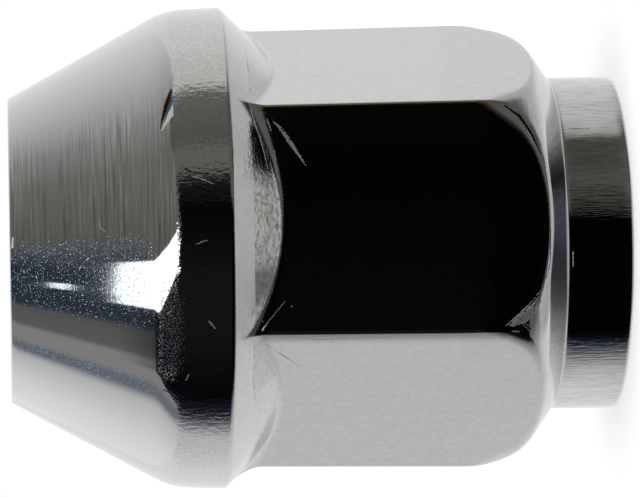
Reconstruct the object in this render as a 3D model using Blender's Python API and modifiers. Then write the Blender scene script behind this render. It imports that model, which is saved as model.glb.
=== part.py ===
"""A wheel lug nut: conical seat, bulge band, hexagonal wrench body, domed crown and closed collar.

The nut stands on the end of its collar, with its axis along Z and the mouth of the bore upwards.
One flat of the hexagon faces -Y. All sizes are in metres, and all angles in degrees.
"""

import math

import bmesh
import bpy
from mathutils import Matrix, Vector

NUT_NAME = "lug_nut"

# Thread and bore
THREAD_DIAMETER = 0.012
THREAD_PITCH = 0.0015
THREAD_FLANK_ANGLE = 30.0  # of each side of a groove, from square to the axis
RUN_OUT = 0.0025  # length over which the thread fades out, towards the bottom
UNTAPPED_DEPTH = 0.0022  # plain length between the thread and the drill point
MOUTH_CLEARANCE = 0.0005  # the mouth's radius over the thread's
MOUTH_ANGLE = 45.0  # of the mouth's countersink, from the axis
DRILL_POINT_ANGLE = 118.0
END_WALL = 0.0045  # metal between the drill point and the closed end

# Conical seat and bulge
RIM_WIDTH = 0.00172  # flat ring round the mouth
RIM_EDGE_RADIUS = 0.0003
SEAT_ANGLE = 58.0  # included angle of the cone
SEAT_EDGE_RADIUS = 0.004  # between the cone and the bulge band
BULGE_STEP = 0.00095  # the bulge's radius over the hexagon's corners
BULGE_HEIGHT = 0.003
BULGE_TAPER = 2.5  # the band widens this much towards the hexagon
BULGE_REAR_RADIUS = 0.0003
FLANK_ANGLE = 42.5  # of the flank between bulge and hexagon, from the axis

# Hexagon and crown
ACROSS_FLATS = 0.021
HEX_CORNER_RADIUS = 0.00025
HEX_HEIGHT = 0.01775  # from the collar to the bulge
CORNER_RELIEF = 0.00067  # how far inside the sharp corners the crown's edge lies
CORNER_CHAMFER_ANGLE = 18.0  # of the chamfer over the corners, from the axis
CROWN_FACE_ANGLE = 55.0  # of the crown's face, from the axis
CROWN_EDGE_RADIUS = 0.003  # between the chamfer and the crown's face

# Collar
COLLAR_SHOULDER = 0.00145  # the flats' distance over the collar's radius
COLLAR_HEIGHT = 0.0035
COLLAR_ROOT_RADIUS = 0.00025
COLLAR_END_RADIUS = 0.0003

# Fineness of the round surfaces
TURN_STEPS = 72
THREAD_STEPS = 36
ARC_STEP_ANGLE = 12.0
CORNER_STEPS = 3

# How far a cutter or a joined shape runs past the surface that it crosses
OVERLAP = 0.001

# Points closer than this are one point
MERGE = 0.000001

# Sizes that follow from the ones above
THREAD_CREST_RATIO = 1.0825  # an inside thread's height over its pitch, on the diameter
BORE_RADIUS = (THREAD_DIAMETER - THREAD_CREST_RATIO * THREAD_PITCH) / 2
MOUTH_RADIUS = THREAD_DIAMETER / 2 + MOUTH_CLEARANCE
RIM_RADIUS = MOUTH_RADIUS + RIM_WIDTH
CORNER_RADIUS = ACROSS_FLATS / math.sqrt(3)
BULGE_RADIUS = CORNER_RADIUS + BULGE_STEP
COLLAR_RADIUS = ACROSS_FLATS / 2 - COLLAR_SHOULDER
CROWN_EDGE = CORNER_RADIUS - CORNER_RELIEF
BULGE_REAR_Z = COLLAR_HEIGHT + HEX_HEIGHT
BULGE_FRONT_Z = BULGE_REAR_Z + BULGE_HEIGHT


def slope(angle):
    """How much the radius grows with each metre along the axis, at this angle from the axis."""
    return math.tan(math.radians(angle))


BULGE_FRONT_RADIUS = BULGE_RADIUS - BULGE_HEIGHT * slope(BULGE_TAPER)
TOP_Z = BULGE_FRONT_Z + (BULGE_FRONT_RADIUS - RIM_RADIUS) / slope(SEAT_ANGLE / 2)


def corner_arc(before, corner, after, radius):
    """Points of the arc that rounds one corner of an outline."""
    to_before = (before - corner).normalized()
    to_after = (after - corner).normalized()
    half_angle = to_before.angle(to_after) / 2
    centre = corner + (to_before + to_after).normalized() * (radius / math.sin(half_angle))
    reach = radius / math.tan(half_angle)
    start = corner + to_before * reach - centre
    turn = start.angle_signed(corner + to_after * reach - centre)
    steps = max(2, math.ceil(abs(math.degrees(turn)) / ARC_STEP_ANGLE))
    return [centre + Matrix.Rotation(-turn * i / steps, 2) @ start for i in range(steps + 1)]


def rounded_outline(corners):
    """The outline through (radius, height, rounding) corners, with each rounding as an arc."""
    places = [Vector(corner[:2]) for corner in corners]
    outline = []
    for index, (_, _, rounding) in enumerate(corners):
        if rounding:
            outline += corner_arc(places[index - 1], places[index], places[index + 1], rounding)
        else:
            outline.append(places[index])
    return outline


def collection_named(name):
    collection = bpy.data.collections.new(name)
    bpy.context.scene.collection.children.link(collection)
    return collection


def object_from(name, mesh_builder, collection):
    """A new object whose mesh is what the bmesh builder holds."""
    mesh = bpy.data.meshes.new(name)
    mesh_builder.to_mesh(mesh)
    mesh_builder.free()
    new_object = bpy.data.objects.new(name, mesh)
    collection.objects.link(new_object)
    return new_object


def mark_as_guide(guide):
    guide.hide_render = True
    guide.display_type = "WIRE"


def turned_guide(name, corners, collection):
    """A solid turned round Z from an outline that runs from the axis at its top to the axis below."""
    builder = bmesh.new()
    points = [builder.verts.new((radius, 0, height)) for radius, height in rounded_outline(corners)]
    for upper, lower in zip(points, points[1:]):
        builder.edges.new((upper, lower))
    turned = object_from(name, builder, collection)
    screw = turned.modifiers.new("Turn", "SCREW")
    screw.axis = "Z"
    screw.steps = TURN_STEPS
    screw.render_steps = TURN_STEPS
    screw.use_merge_vertices = True
    screw.merge_threshold = MERGE
    mark_as_guide(turned)
    return turned


def crown_and_collar(collection):
    """The turned envelope that shapes the hexagon's closed end: corner chamfer, crown and collar."""
    outer_radius = CORNER_RADIUS + OVERLAP
    crown_edge_z = COLLAR_HEIGHT + (CROWN_EDGE - COLLAR_RADIUS) / slope(CROWN_FACE_ANGLE)
    chamfer_top_z = crown_edge_z + (outer_radius - CROWN_EDGE) / slope(CORNER_CHAMFER_ANGLE)
    envelope_top_z = max(chamfer_top_z, BULGE_FRONT_Z) + OVERLAP
    corners = [
        (0, envelope_top_z, 0),
        (outer_radius, envelope_top_z, 0),
        (outer_radius, chamfer_top_z, 0),
        (CROWN_EDGE, crown_edge_z, CROWN_EDGE_RADIUS),
        (COLLAR_RADIUS, COLLAR_HEIGHT, COLLAR_ROOT_RADIUS),
        (COLLAR_RADIUS, 0, COLLAR_END_RADIUS),
        (0, 0, 0),
    ]
    return turned_guide("crown_and_collar", corners, collection)


def seat_and_bulge(collection):
    """The turned front of the nut: flat rim, conical seat, bulge band and the flank behind it."""
    core_radius = COLLAR_RADIUS - OVERLAP
    flank_end_z = BULGE_REAR_Z - (BULGE_RADIUS - core_radius) / slope(FLANK_ANGLE)
    corners = [
        (0, TOP_Z, 0),
        (RIM_RADIUS, TOP_Z, RIM_EDGE_RADIUS),
        (BULGE_FRONT_RADIUS, BULGE_FRONT_Z, SEAT_EDGE_RADIUS),
        (BULGE_RADIUS, BULGE_REAR_Z, BULGE_REAR_RADIUS),
        (core_radius, flank_end_z, 0),
        (0, flank_end_z, 0),
    ]
    return turned_guide("seat_and_bulge", corners, collection)


def countersink(collection):
    """The cutter for the bevelled mouth of the bore, a cone that ends inside the bore."""
    inner_radius = BORE_RADIUS - OVERLAP
    depth = (MOUTH_RADIUS - inner_radius) / slope(MOUTH_ANGLE)
    corners = [
        (0, TOP_Z + OVERLAP, 0),
        (MOUTH_RADIUS + OVERLAP * slope(MOUTH_ANGLE), TOP_Z + OVERLAP, 0),
        (inner_radius, TOP_Z - depth, 0),
        (0, TOP_Z - depth, 0),
    ]
    cutter = turned_guide("countersink", corners, collection)
    # Turned by half a step, its facets meet those of the thread and the rim between their edges.
    cutter.rotation_euler.z = math.radians(180 / TURN_STEPS)
    return cutter


def helix_wall(builder, bottom, top):
    """The open wall of the thread: crest, flank, root and flank of one pitch, spun upwards from below bottom."""
    crest = THREAD_PITCH / 4
    root = THREAD_PITCH / 8
    flank = (THREAD_DIAMETER / 2 - BORE_RADIUS) * slope(THREAD_FLANK_ANGLE)
    section = [
        (BORE_RADIUS, 0),
        (BORE_RADIUS, crest),
        (THREAD_DIAMETER / 2, crest + flank),
        (THREAD_DIAMETER / 2, crest + flank + root),
        (BORE_RADIUS, THREAD_PITCH),
    ]
    start = bottom - THREAD_PITCH
    points = [builder.verts.new((radius, 0, start + rise)) for radius, rise in section]
    edges = [builder.edges.new(pair) for pair in zip(points, points[1:])]
    turns = math.ceil((top - start) / THREAD_PITCH)
    bmesh.ops.spin(
        builder,
        geom=points + edges,
        axis=(0, 0, 1),
        dvec=(0, 0, THREAD_PITCH / THREAD_STEPS),
        angle=turns * math.tau,
        steps=turns * THREAD_STEPS,
    )
    bmesh.ops.remove_doubles(builder, verts=builder.verts, dist=MERGE)


def fade_out_thread(builder, bottom):
    """Levels the thread at the bottom and brings its grooves out to the plain bore over the run-out."""
    for point in builder.verts:
        height = max(point.co.z, bottom)
        fade = min((height - bottom) / RUN_OUT, 1)
        radius = point.co.xy.length
        point.co.xy *= (BORE_RADIUS + (radius - BORE_RADIUS) * fade) / radius
        point.co.z = height
    bmesh.ops.remove_doubles(builder, verts=builder.verts, dist=MERGE)


def open_edges(builder):
    return [edge for edge in builder.edges if edge.is_boundary]


def extruded_ring(builder, ring):
    """The points of a ring of edges that is extruded from this one, still in the same place."""
    extruded = bmesh.ops.extrude_edge_only(builder, edges=ring)["geom"]
    return [part for part in extruded if isinstance(part, bmesh.types.BMVert)]


def tapped_bore(collection):
    """The cutter for the blind hole: right-hand thread, plain bore below it and drill point."""
    floor = END_WALL + BORE_RADIUS / slope(DRILL_POINT_ANGLE / 2)
    bottom = floor + UNTAPPED_DEPTH
    builder = bmesh.new()
    helix_wall(builder, bottom, TOP_Z + OVERLAP)
    fade_out_thread(builder, bottom)
    upper_ring = [edge for edge in open_edges(builder) if edge.verts[0].co.z > TOP_Z]
    top_z = max(point.co.z for point in builder.verts)
    bmesh.ops.pointmerge(builder, verts=extruded_ring(builder, upper_ring), merge_co=(0, 0, top_z))
    floor_ring = extruded_ring(builder, open_edges(builder))
    bmesh.ops.translate(builder, verts=floor_ring, vec=(0, 0, floor - bottom))
    tip_ring = extruded_ring(builder, open_edges(builder))
    bmesh.ops.pointmerge(builder, verts=tip_ring, merge_co=(0, 0, END_WALL))
    bmesh.ops.recalc_face_normals(builder, faces=builder.faces)
    cutter = object_from("tapped_bore", builder, collection)
    mark_as_guide(cutter)
    return cutter


def hexagon(collection):
    """The hexagonal bar, with its long edges rounded and one flat facing -Y."""
    top_z = BULGE_FRONT_Z
    bottom_z = -OVERLAP
    builder = bmesh.new()
    # A circle of six starts at a corner on Y, so a turn of half a side brings a flat there.
    bmesh.ops.create_cone(
        builder,
        cap_ends=True,
        segments=6,
        radius1=CORNER_RADIUS,
        radius2=CORNER_RADIUS,
        depth=top_z - bottom_z,
        matrix=Matrix.Translation((0, 0, (top_z + bottom_z) / 2)) @ Matrix.Rotation(math.radians(30), 4, "Z"),
    )
    long_edges = [edge for edge in builder.edges if edge.verts[0].co.z * edge.verts[1].co.z < 0]
    bmesh.ops.bevel(
        builder,
        geom=long_edges,
        offset=HEX_CORNER_RADIUS * slope(30),
        segments=CORNER_STEPS,
        profile=0.5,
        affect="EDGES",
    )
    return object_from(NUT_NAME, builder, collection)


def chrome_plate():
    """Bright chrome plating over steel."""
    plate = bpy.data.materials.new("chrome_plate")
    plate.use_nodes = True
    shader = plate.node_tree.nodes["Principled BSDF"]
    shader.inputs["Base Color"].default_value = (0.62, 0.63, 0.65, 1)
    shader.inputs["Metallic"].default_value = 1
    shader.inputs["Roughness"].default_value = 0.12
    return plate


def combine(target, other, operation):
    boolean = target.modifiers.new(other.name, "BOOLEAN")
    boolean.operation = operation
    boolean.object = other


def clear_scene():
    for old in list(bpy.data.objects):
        bpy.data.objects.remove(old)


def build_nut():
    parts = collection_named("lug nut")
    guides = collection_named("turned forms and cutters")
    nut = hexagon(parts)
    combine(nut, crown_and_collar(guides), "INTERSECT")
    combine(nut, seat_and_bulge(guides), "UNION")
    combine(nut, tapped_bore(guides), "DIFFERENCE")
    combine(nut, countersink(guides), "DIFFERENCE")
    nut.data.shade_smooth()
    nut.data.set_sharp_from_angle(angle=math.radians(25))
    nut.data.materials.append(chrome_plate())


clear_scene()
build_nut()
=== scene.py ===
"""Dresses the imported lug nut: one plated steel piece with a tapped bore, on a pale floor in a light tent.

The nut stands on the closed end of its collar, as it does in the frame: its axis is Z, the mouth of its
bore is at the top, and one flat of the hexagon faces -Y.
"""

import math

import bmesh
import bpy
import numpy as np
from bpy.props import FloatProperty, FloatVectorProperty, IntProperty, PointerProperty
from mathutils import Matrix, Vector


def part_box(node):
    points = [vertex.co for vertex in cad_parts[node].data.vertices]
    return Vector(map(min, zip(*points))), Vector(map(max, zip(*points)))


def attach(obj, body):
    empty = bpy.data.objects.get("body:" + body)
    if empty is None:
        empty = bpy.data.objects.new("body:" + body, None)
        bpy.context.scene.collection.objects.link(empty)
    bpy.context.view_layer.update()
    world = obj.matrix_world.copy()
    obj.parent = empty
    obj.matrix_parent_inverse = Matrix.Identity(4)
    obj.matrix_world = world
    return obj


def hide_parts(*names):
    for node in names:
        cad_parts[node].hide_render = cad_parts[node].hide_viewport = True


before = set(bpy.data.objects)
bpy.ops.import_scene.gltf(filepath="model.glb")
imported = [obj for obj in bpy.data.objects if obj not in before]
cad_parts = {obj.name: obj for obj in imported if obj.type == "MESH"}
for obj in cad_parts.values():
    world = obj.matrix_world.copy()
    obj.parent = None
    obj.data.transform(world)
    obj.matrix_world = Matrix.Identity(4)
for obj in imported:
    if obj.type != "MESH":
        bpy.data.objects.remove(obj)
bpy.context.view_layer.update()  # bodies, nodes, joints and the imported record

bl_info = {
    "name": "Plated Lug Nut",
    "version": (1, 0, 0),
    "blender": (4, 5, 0),
    "location": "View3D > Sidebar > Lug Nut",
    "description": "Models a chrome plated wheel lug nut over its packed solid, with its stage",
    "category": "Object",
}

_, NUT_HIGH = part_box("lug_nut")
MM = 0.001
MERGE = 1e-6  # points closer than this are one point
THREAD_DEPTH = 0.54127  # depth of a metric thread in a bore, in pitches
SMOOTH_BELOW = math.radians(40)  # edges that bend less than this are shaded smooth


def length(name, default, description):
    """A size in metres, given here in millimetres."""
    return FloatProperty(name=name, default=default * MM, description=description, unit="LENGTH", precision=5)


def angle(name, default, description):
    return FloatProperty(name=name, default=math.radians(default), description=description, subtype="ANGLE")


def amount(name, default, description):
    return FloatProperty(name=name, default=default, description=description, precision=4)


def count(name, default, description):
    return IntProperty(name=name, default=default, description=description)


def colour(name, default, description):
    return FloatVectorProperty(name=name, default=default, description=description, subtype="COLOR")


class LUGNUT_PG_body(bpy.types.PropertyGroup):
    """Sizes of the nut's outside."""

    across_flats: length("Across Flats", 21, "Wrench size of the hexagon")
    hex_corner_radius: length("Corner Radius", 0.14, "Rounding of the hexagon's long edges")
    hex_draft: angle("Hexagon Draft", 0.9, "How much the flats lean in towards the bulge")
    hex_edge_blend: length("Crown Edge Blend", 0.3, "Softness of the edge between the flats and the crown")
    collar_radius: length("Collar Radius", 9.05, "Radius of the round collar at the closed end")
    collar_height: length("Collar Height", 3.5, "From the closed end to the crown")
    collar_root_radius: length("Collar Root Radius", 0.25, "Fillet between the collar and the crown")
    collar_end_radius: length("Collar End Radius", 0.22, "Rounding of the closed end's edge")
    crown_edge_radius: length("Crown Edge Radius", 11.454, "Where the crown meets the corners' chamfer")
    crown_face_angle: angle("Crown Face Angle", 55, "Angle of the crown's face from the axis")
    crown_rounding: length("Crown Rounding", 3, "Rounding between the crown's face and the chamfer")
    corner_chamfer_angle: angle("Corner Chamfer Angle", 18, "Angle of the corners' chamfer from the axis")
    bulge_radius: length("Bulge Radius", 13.064, "Radius of the band at its hexagon side, before rounding")
    bulge_rear: length("Bulge Rear", 21.31, "Height of the bulge's hexagon side")
    bulge_front: length("Bulge Front", 24.25, "Height at which the seat cone starts")
    bulge_taper: angle("Bulge Taper", 2.5, "How much the band narrows towards the seat cone")
    bulge_rear_radius: length("Bulge Rear Radius", 0.35, "Rounding between the band and the flank")
    flank_angle: angle("Flank Angle", 44.5, "Angle of the flank from the axis")
    flank_fillet: length("Flank Fillet", 0.2, "Softness of the fillet between the flank and a flat's middle")
    corner_fillet: length("Corner Fillet", 0.9, "Softness of the fillet between the flank and a corner")
    seat_edge_radius: length("Seat Edge Radius", 4, "Rounding between the band and the seat cone")
    rim_radius: length("Rim Radius", 8.22, "Radius of the flat ring round the mouth")
    rim_edge_radius: length("Rim Edge Radius", 0.18, "Rounding of the flat ring's outer edge")
    meridians: count("Meridians", 288, "Divisions of the turned surface, a multiple of six")
    corner_crowding: amount("Corner Crowding", 0.7, "How closely the divisions gather at the corners")
    fine_spacing: length("Fine Spacing", 0.085, "Row spacing where the flats run out")
    plain_spacing: length("Plain Spacing", 0.35, "Row spacing elsewhere")


class LUGNUT_PG_bore(bpy.types.PropertyGroup):
    """Sizes of the tapped bore."""

    thread_diameter: length("Thread Diameter", 12, "Nominal diameter of the thread")
    thread_pitch: length("Thread Pitch", 1.5, "Pitch of the right-hand thread")
    mouth_clearance: length("Mouth Clearance", 0.5, "Mouth radius over the thread's radius")
    bore_floor: length("Bore Floor", 7.62, "Height at which the drill point starts")
    drill_tip: length("Drill Tip", 4.5, "Height of the drill point's tip")
    plain_depth: length("Plain Depth", 2.2, "Untapped length above the drill point")
    run_out: length("Run Out", 2.5, "Length over which the thread fades out")
    steps: count("Steps", 96, "Divisions of one turn of the thread")


class LUGNUT_PG_plating(bpy.types.PropertyGroup):
    """Colours and finish of the plating."""

    chrome: colour("Chrome", (0.62, 0.62, 0.625), "Colour of the plating")
    steel: colour("Bare Steel", (0.30, 0.295, 0.29), "Colour of the thread, which the plating hardly reaches")
    gloss: amount("Roughness", 0.045, "Roughness of the plating")


class LUGNUT_PG_studio(bpy.types.PropertyGroup):
    """The camera, the light tent and the lamps."""

    camera_turn: angle("Camera Turn", -8.1, "Bearing of the camera round the nut, from -Y")
    camera_tilt: angle("Camera Tilt", 4.4, "Height of the camera over the nut, as an angle")
    camera_roll: angle("Camera Roll", 0.86, "Tilt of the nut's axis in the picture")
    camera_distance: length("Camera Distance", 218, "From the camera to the aim")
    aim_height: length("Aim Height", 15.9, "Height at which the camera aims")
    aim_side: length("Aim Side", -0.11, "How far beside the axis the camera aims")
    lens: amount("Lens", 225, "Focal length in millimetres")
    tent_radius: length("Tent Radius", 150, "Radius of the light tent")
    panel_distance: length("Panel Distance", 140, "From the aim to the bright panel")
    panel_glow: amount("Panel Glow", 2.4, "Strength of the bright panels")
    floor_radius: length("Floor Radius", 1500, "Radius of the floor")
    floor_paint: amount("Floor Paint", 0.62, "Brightness of the floor's paint")
    floor_lift: amount("Floor Lift", 0.5, "Light added to the floor as the camera sees it")
    lamp_power: amount("Lamp Power", 0.12, "Power of each soft lamp in watts")
    lamp_size: length("Lamp Size", 250, "Diameter of each soft lamp")
    lamp_distance: length("Lamp Distance", 350, "From the origin to each soft lamp")
    lamp_turn: angle("Lamp Turn", 60, "Bearing of the soft lamps to either side of -Y")
    lamp_tilt: angle("Lamp Tilt", 50, "Height of the soft lamps over the nut, as an angle")


def deselect_all():
    bpy.ops.object.select_all(action="DESELECT")


def make_active(piece):
    deselect_all()
    piece.select_set(True)
    bpy.context.view_layer.objects.active = piece


def corner_arc(before, corner, after, radius, step=math.radians(7)):
    """Points of the arc that rounds one corner of an outline."""
    to_before = (before - corner).normalized()
    to_after = (after - corner).normalized()
    half_angle = to_before.angle(to_after) / 2
    centre = corner + (to_before + to_after).normalized() * (radius / math.sin(half_angle))
    reach = radius / math.tan(half_angle)
    start = corner + to_before * reach - centre
    turn = start.angle_signed(corner + to_after * reach - centre)
    steps = max(3, math.ceil(abs(turn) / step))
    return [centre + Matrix.Rotation(-turn * i / steps, 2) @ start for i in range(steps + 1)]


def rounded_outline(corners):
    """The outline through (radius, height, rounding) corners, with each rounding as an arc."""
    places = [Vector(corner[:2]) for corner in corners]
    outline = []
    for index, (_, _, rounding) in enumerate(corners):
        if rounding:
            outline += corner_arc(places[index - 1], places[index], places[index + 1], rounding)
        else:
            outline.append(places[index])
    return outline


def crown_corners(body):
    """Collar and crown, with the corners' chamfer run on past the hexagon's corners."""
    face_rise = (body.crown_edge_radius - body.collar_radius) / math.tan(body.crown_face_angle)
    edge_height = body.collar_height + face_rise
    overrun = 3 * MM
    return [
        (body.collar_radius, 0, body.collar_end_radius),
        (body.collar_radius, body.collar_height, body.collar_root_radius),
        (body.crown_edge_radius, edge_height, body.crown_rounding),
        (body.crown_edge_radius + overrun, edge_height + overrun / math.tan(body.corner_chamfer_angle), 0),
    ]


def seat_corners(body):
    """Flank, bulge band, seat cone and flat ring, with the flank run on below the flats."""
    overrun = 5 * MM
    front_radius = body.bulge_radius - (body.bulge_front - body.bulge_rear) * math.tan(body.bulge_taper)
    return [
        (body.bulge_radius - overrun, body.bulge_rear - overrun / math.tan(body.flank_angle), 0),
        (body.bulge_radius, body.bulge_rear, body.bulge_rear_radius),
        (front_radius, body.bulge_front, body.seat_edge_radius),
        (body.rim_radius, NUT_HIGH.z, body.rim_edge_radius),
    ]


def crown_outline(body):
    end_centre = (0, 0, 0)
    return rounded_outline([end_centre] + crown_corners(body))[1:]


def seat_outline(body, mouth_radius):
    ring_inside = (mouth_radius, NUT_HIGH.z, 0)
    return rounded_outline(seat_corners(body) + [ring_inside])


def pressed_top(body):
    """Height on the flank up to which the press reaches."""
    return body.bulge_rear - 0.2 * MM


def end_ring_radius(body):
    """Radius of the innermost ring of points on the closed end."""
    return 0.5 * body.collar_radius


def spaced(start, end, spacing):
    """Values from start to end, both left out, about one spacing apart."""
    steps = max(1, round((end - start) / spacing))
    return [start + (end - start) * i / steps for i in range(1, steps)]


def blank_profile(body, mouth_radius):
    """(radius, height) points of the turned blank, from its closed end to the mouth of its bore."""
    crown = crown_outline(body)
    seat = seat_outline(body, mouth_radius)
    crown_zone = body.collar_height + 5 * MM
    flank_zone = body.bulge_rear - 3.4 * MM
    flank_top = pressed_top(body)
    low = [point for point in crown if point.y < body.collar_height - 0.01 * MM]
    high = [point for point in seat if point.y > flank_top]
    heights = [body.collar_height]
    heights += spaced(body.collar_height, crown_zone, body.fine_spacing) + [crown_zone]
    heights += spaced(crown_zone, flank_zone, body.plain_spacing) + [flank_zone]
    heights += spaced(flank_zone, flank_top, body.fine_spacing) + [flank_top]
    corner_radius = body.across_flats / math.sqrt(3)
    middle = [Vector((max(corner_radius, outline_radius(seat, height)), height)) for height in heights]
    profile = [Vector((end_ring_radius(body), 0))]
    for point in low + middle + high:
        gap = (point - profile[-1]).length
        if gap > 1.5 * body.plain_spacing and point.y != profile[-1].y:
            pieces = round(gap / body.plain_spacing)
            profile += [profile[-1].lerp(point, i / pieces) for i in range(1, pieces)]
        profile.append(point)
    return profile


def soft_min(a, b, blend):
    """The smaller of two radii, eased where they differ by less than the blend."""
    overlap = np.clip(1 - np.abs(a - b) / blend, 0, None)
    return np.minimum(a, b) - overlap ** 2 * blend / 4


def soft_max(a, b, blend):
    return -soft_min(-a, -b, blend)


def angle_from_flat(bearing):
    """Signed angle from the middle of the nearest flat, up to 30 degrees at a corner."""
    return np.mod(bearing + math.pi / 2 + math.pi / 6, math.pi / 3) - math.pi / 6


def hexagon_radius(body, bearing, height):
    """Distance from the axis to the rounded hexagon, at a bearing and a height."""
    middle = (body.collar_height + body.bulge_rear) / 2
    apothem = body.across_flats / 2 + (middle - height) * math.tan(body.hex_draft)
    from_flat = angle_from_flat(bearing)
    flat = apothem / np.cos(from_flat)
    from_corner = math.pi / 6 - np.abs(from_flat)
    centre = (apothem - body.hex_corner_radius) / math.cos(math.pi / 6)
    off_centre = centre * np.sin(from_corner)
    reach = np.clip(body.hex_corner_radius ** 2 - off_centre ** 2, 0, None)
    corner = centre * np.cos(from_corner) + np.sqrt(reach)
    flat_ends = np.arctan((apothem - body.hex_corner_radius) * math.tan(math.pi / 6) / apothem)
    return np.where(np.abs(from_flat) < flat_ends, flat, corner)


def outline_radius(outline, height):
    heights = [point.y for point in outline]
    radii = [point.x for point in outline]
    return np.interp(height, heights, radii)


def vertex_places(mesh):
    places = np.empty(3 * len(mesh.vertices))
    mesh.vertices.foreach_get("co", places)
    return places.reshape(-1, 3)


def move_vertices(mesh, places):
    mesh.vertices.foreach_set("co", places.ravel())
    mesh.update()


def draw_profile(name, profile):
    """An object whose mesh is a chain of edges through (radius, height) points, extruded one by one."""
    deselect_all()
    bpy.ops.mesh.primitive_plane_add(size=MM)
    chain = bpy.context.active_object
    chain.name = name
    bpy.ops.object.mode_set(mode="EDIT")
    bpy.ops.mesh.select_all(action="SELECT")
    bpy.ops.mesh.merge(type="CENTER")
    bpy.ops.transform.translate(value=(profile[0].x, 0, profile[0].y))
    for before, after in zip(profile, profile[1:]):
        step = after - before
        bpy.ops.mesh.extrude_vertices_move(TRANSFORM_OT_translate={"value": (step.x, 0, step.y)})
    bpy.ops.object.mode_set(mode="OBJECT")
    return chain


def turn_blank(body, mouth_radius):
    """The turned blank, before the flats are forged."""
    blank = draw_profile("plated_nut", blank_profile(body, mouth_radius))
    bpy.ops.object.mode_set(mode="EDIT")
    bpy.ops.mesh.select_all(action="SELECT")
    bpy.ops.mesh.spin(steps=body.meridians, angle=math.tau, center=(0, 0, 0), axis=(0, 0, 1))
    bpy.ops.mesh.select_all(action="SELECT")
    bpy.ops.mesh.remove_doubles(threshold=MERGE)
    bpy.ops.object.mode_set(mode="OBJECT")
    return blank


def forge_flats(body, blank, mouth_radius):
    """Gathers the meridians at the corners and presses the hexagon into the blank."""
    places = vertex_places(blank.data)
    bearing = np.arctan2(places[:, 1], places[:, 0])
    bearing -= body.corner_crowding * np.sin(6 * bearing) / 6
    radius = np.hypot(places[:, 0], places[:, 1])
    height = places[:, 2]
    crown = outline_radius(crown_outline(body)[1:], height)
    seat = outline_radius(seat_outline(body, mouth_radius), height)
    pressed = soft_min(hexagon_radius(body, bearing, height), crown, body.hex_edge_blend)
    cornerness = np.abs(angle_from_flat(bearing)) / (math.pi / 6)
    fillet = body.flank_fillet + (body.corner_fillet - body.flank_fillet) * cornerness ** 4
    pressed = soft_max(pressed, seat, fillet)
    root = body.collar_height - body.collar_root_radius
    forged = (height > root) & (height < pressed_top(body) + 0.02 * MM)
    radius = np.where(forged, pressed, radius)
    move_vertices(blank.data, np.column_stack([radius * np.cos(bearing), radius * np.sin(bearing), height]))


def crest_radius(bore):
    """Radius of the thread's crests."""
    return bore.thread_diameter / 2 - THREAD_DEPTH * bore.thread_pitch


def thread_profile(bore):
    """One pitch of the thread as (radius, height) points, from crest to crest."""
    pitch = bore.thread_pitch
    crest = crest_radius(bore)
    root = bore.thread_diameter / 2 + 0.02 * pitch
    corners = [(crest, 0), (crest, 0.21), (crest + 0.07 * pitch, 0.27), (root - 0.06 * pitch, 0.545)]
    corners += [(root, 0.585), (root, 0.665), (root - 0.06 * pitch, 0.705), (crest + 0.07 * pitch, 0.98)]
    corners += [(crest, 1)]
    return [Vector((radius, share * pitch)) for radius, share in corners]


def tap_bore(bore, mouth_radius):
    """The tapped wall of the bore: a helix of thread, trimmed to its two ends, with the drill point below."""
    top = NUT_HIGH.z
    bottom = bore.bore_floor + bore.plain_depth
    turns = math.ceil((top - bottom) / bore.thread_pitch) + 1
    wall = draw_profile("tapped_wall", thread_profile(bore))
    screw = wall.modifiers.new("Thread", "SCREW")
    screw.axis = "Z"
    screw.angle = math.tau
    screw.screw_offset = bore.thread_pitch
    screw.iterations = turns
    screw.steps = screw.render_steps = bore.steps
    screw.use_merge_vertices = True
    screw.merge_threshold = MERGE
    bpy.ops.object.modifier_apply(modifier=screw.name)
    places = vertex_places(wall.data)
    places[:, 2] += bottom - bore.thread_pitch
    trim_thread(bore, places, bottom, mouth_radius)
    move_vertices(wall.data, places)
    close_bore(bore, wall, bottom)
    return wall


def trim_thread(bore, places, bottom, mouth_radius):
    """Clamps the helix between its ends, fades it out below and opens it to the countersink above."""
    top = NUT_HIGH.z
    crest = crest_radius(bore)
    radius = np.hypot(places[:, 0], places[:, 1])
    height = np.clip(places[:, 2], bottom, top)
    fade = np.clip((height - bottom) / bore.run_out, 0, 1)
    radius_now = crest + (radius - crest) * fade
    radius_now = np.maximum(radius_now, mouth_radius - (top - height))
    places[:, 0] *= radius_now / radius
    places[:, 1] *= radius_now / radius
    places[:, 2] = height


def select_open_edges(piece, height, radius=None, tolerance=0.02 * MM):
    """Selects the open edges at one height, on one circle round the axis where a radius is given."""
    bpy.ops.mesh.select_all(action="DESELECT")
    mesh_builder = bmesh.from_edit_mesh(piece.data)
    for edge in mesh_builder.edges:
        wanted = edge.is_boundary
        for vertex in edge.verts:
            wanted = wanted and abs(vertex.co.z - height) < tolerance
            wanted = wanted and (radius is None or abs(vertex.co.xy.length - radius) < tolerance)
        edge.select_set(wanted)
    mesh_builder.select_flush_mode()
    bmesh.update_edit_mesh(piece.data)


def close_bore(bore, wall, bottom):
    """Runs the wall down to the drill point and closes it at the tip."""
    bpy.ops.object.mode_set(mode="EDIT")
    bpy.ops.mesh.select_mode(type="EDGE")
    bpy.ops.mesh.select_all(action="SELECT")
    bpy.ops.mesh.remove_doubles(threshold=MERGE)
    select_open_edges(wall, bottom, crest_radius(bore))
    fall = bore.bore_floor - bottom
    bpy.ops.mesh.extrude_edges_move(TRANSFORM_OT_translate={"value": (0, 0, fall)})
    point = bore.drill_tip - bore.bore_floor
    bpy.ops.mesh.extrude_edges_move(TRANSFORM_OT_translate={"value": (0, 0, point)})
    bpy.ops.mesh.merge(type="CENTER")
    bpy.ops.object.mode_set(mode="OBJECT")


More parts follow.
